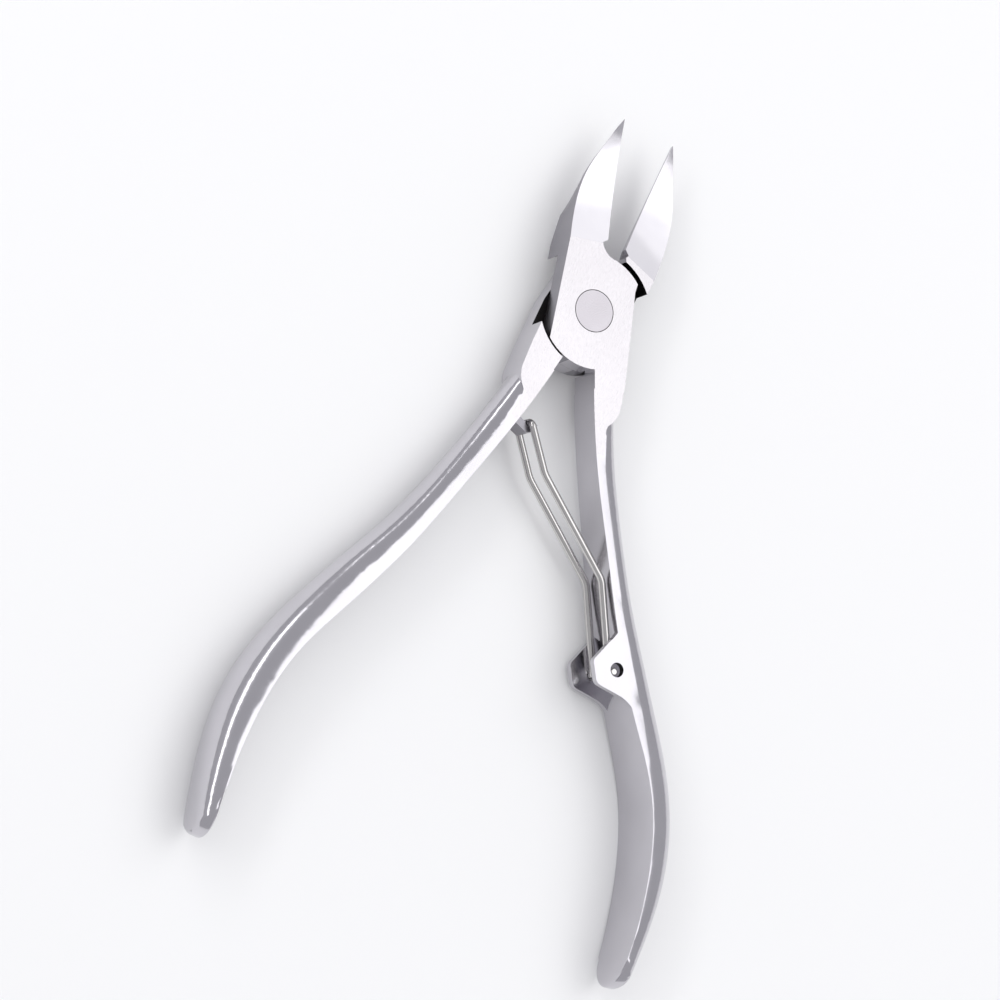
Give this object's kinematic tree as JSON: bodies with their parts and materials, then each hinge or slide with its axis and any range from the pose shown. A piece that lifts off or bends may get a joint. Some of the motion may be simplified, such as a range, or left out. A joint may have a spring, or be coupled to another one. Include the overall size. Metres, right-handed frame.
{
  "type": "nail nipper",
  "caption": "Lap-joint nail nipper: two pointed ground jaws, a flush pivot screw, bowed handles and a bent-wire spring between the handles.",
  "frame": {"origin": "centre of the bounding box in plan, on the surface the tool lies on", "axes": "+Z along the pivot axis towards the screw head, +Y towards the cutting tips, +X towards the handle with the spring ears"},
  "size_m": [0.0712, 0.1216, 0.01],
  "materials": {
    "polished_steel": "polished",
    "screw_steel": "satin",
    "spring_steel": "bright drawn"
  },
  "bodies": {
    "front": {"front_half": "polished_steel"},
    "back": {"back_half": "polished_steel", "pivot_screw": "screw_steel"},
    "spring": {"spring_wire": "spring_steel"}
  },
  "joints": [
    {"name": "jaw_hinge", "type": "hinge", "parent": "front", "child": "back", "pos_m": [-0.00354, 0.03069, 0.005], "axis": [0, 0, 1], "range_deg": [-6, 16.3], "stiffness_Nm_per_rad": 1.6, "deforming": ["spring_wire"]},
    {"name": "spring_swing", "type": "hinge", "parent": "front", "child": "spring", "pos_m": [0.01692, -0.01681, 0.005], "axis": [0, 0, 1], "range_deg": [-7.31, 2.88]}
  ],
  "couplings": [
    {"joint": "spring_swing", "follows": "jaw_hinge", "ratio": -0.43}
  ]
}
